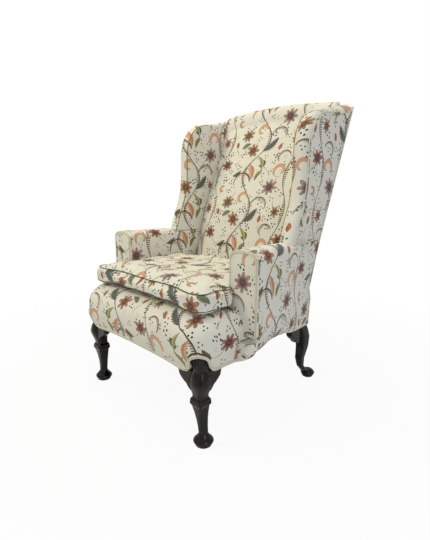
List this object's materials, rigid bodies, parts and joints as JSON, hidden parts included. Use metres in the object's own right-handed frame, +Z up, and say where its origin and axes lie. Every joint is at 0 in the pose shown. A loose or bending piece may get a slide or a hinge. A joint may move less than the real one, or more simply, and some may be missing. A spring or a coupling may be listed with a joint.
{
  "type": "wingback armchair",
  "caption": "High wingback armchair with a loose T-shaped seat cushion, vine-patterned cloth all over, and dark cabriole legs with shell-carved knees and pad feet.",
  "frame": {"origin": "on the floor, under the middle of the chair left to right, and halfway between its foremost and rearmost points", "axes": "+Z up, -Y towards the front of the seat, +X towards the left hand of someone who sits in the chair"},
  "size_m": [0.84, 0.8229, 1.1596],
  "materials": {
    "printed_fabric": "matt woven cream linen cloth with a trailing vine, flowers and leaves",
    "deck_cloth": "plain matt cream lining cloth",
    "black_lining": "thin matt black dust cloth",
    "jute_webbing": "coarse woven jute",
    "hessian": "open woven hessian",
    "show_wood": "very dark polished hardwood",
    "frame_timber": "plain planed beech"
  },
  "bodies": {
    "chair": {"front_leg_left": "show_wood", "front_leg_right": "show_wood", "rear_leg_left": "show_wood", "rear_leg_right": "show_wood", "front_knee_bracket_left": "show_wood", "front_knee_bracket_right": "show_wood", "side_knee_bracket_left": "show_wood", "side_knee_bracket_right": "show_wood", "rear_leg_bracket_left": "show_wood", "rear_leg_bracket_right": "show_wood", "side_seat_rail_left": "frame_timber", "side_seat_rail_right": "frame_timber", "back_post_left": "frame_timber", "back_post_right": "frame_timber", "arm_post_left": "frame_timber", "arm_post_right": "frame_timber", "arm_rail_left": "frame_timber", "arm_rail_right": "frame_timber", "arm_tack_rail_left": "frame_timber", "arm_tack_rail_right": "frame_timber", "wing_post_left": "frame_timber", "wing_post_right": "frame_timber", "wing_rail_left": "frame_timber", "wing_rail_right": "frame_timber", "outside_arm_left": "printed_fabric", "outside_arm_right": "printed_fabric", "arm_belly_left": "printed_fabric", "arm_belly_right": "printed_fabric", "arm_front_panel_left": "printed_fabric", "arm_front_panel_right": "printed_fabric", "inside_arm_left": "printed_fabric", "inside_arm_right": "printed_fabric", "wing_border_left": "printed_fabric", "wing_border_right": "printed_fabric", "outside_wing_left": "printed_fabric", "outside_wing_right": "printed_fabric", "inside_wing_left": "printed_fabric", "inside_wing_right": "printed_fabric", "front_seat_rail": "frame_timber", "rear_seat_rail": "frame_timber", "corner_blocks": "frame_timber", "crest_rail": "frame_timber", "back_tack_rail": "frame_timber", "seat_webbing": "jute_webbing", "back_webbing": "jute_webbing", "seat_hessian": "hessian", "back_hessian": "hessian", "dust_cover": "black_lining", "outside_back": "printed_fabric", "inside_back": "printed_fabric", "front_seat_cover": "printed_fabric", "seat_deck": "deck_cloth"},
    "cushion": {"seat_cushion": "printed_fabric"}
  },
  "joints": [
    {"name": "cushion_lift", "type": "slide", "parent": "chair", "child": "cushion", "axis": [0, 0, 1], "range_m": [0, 0.25]}
  ]
}
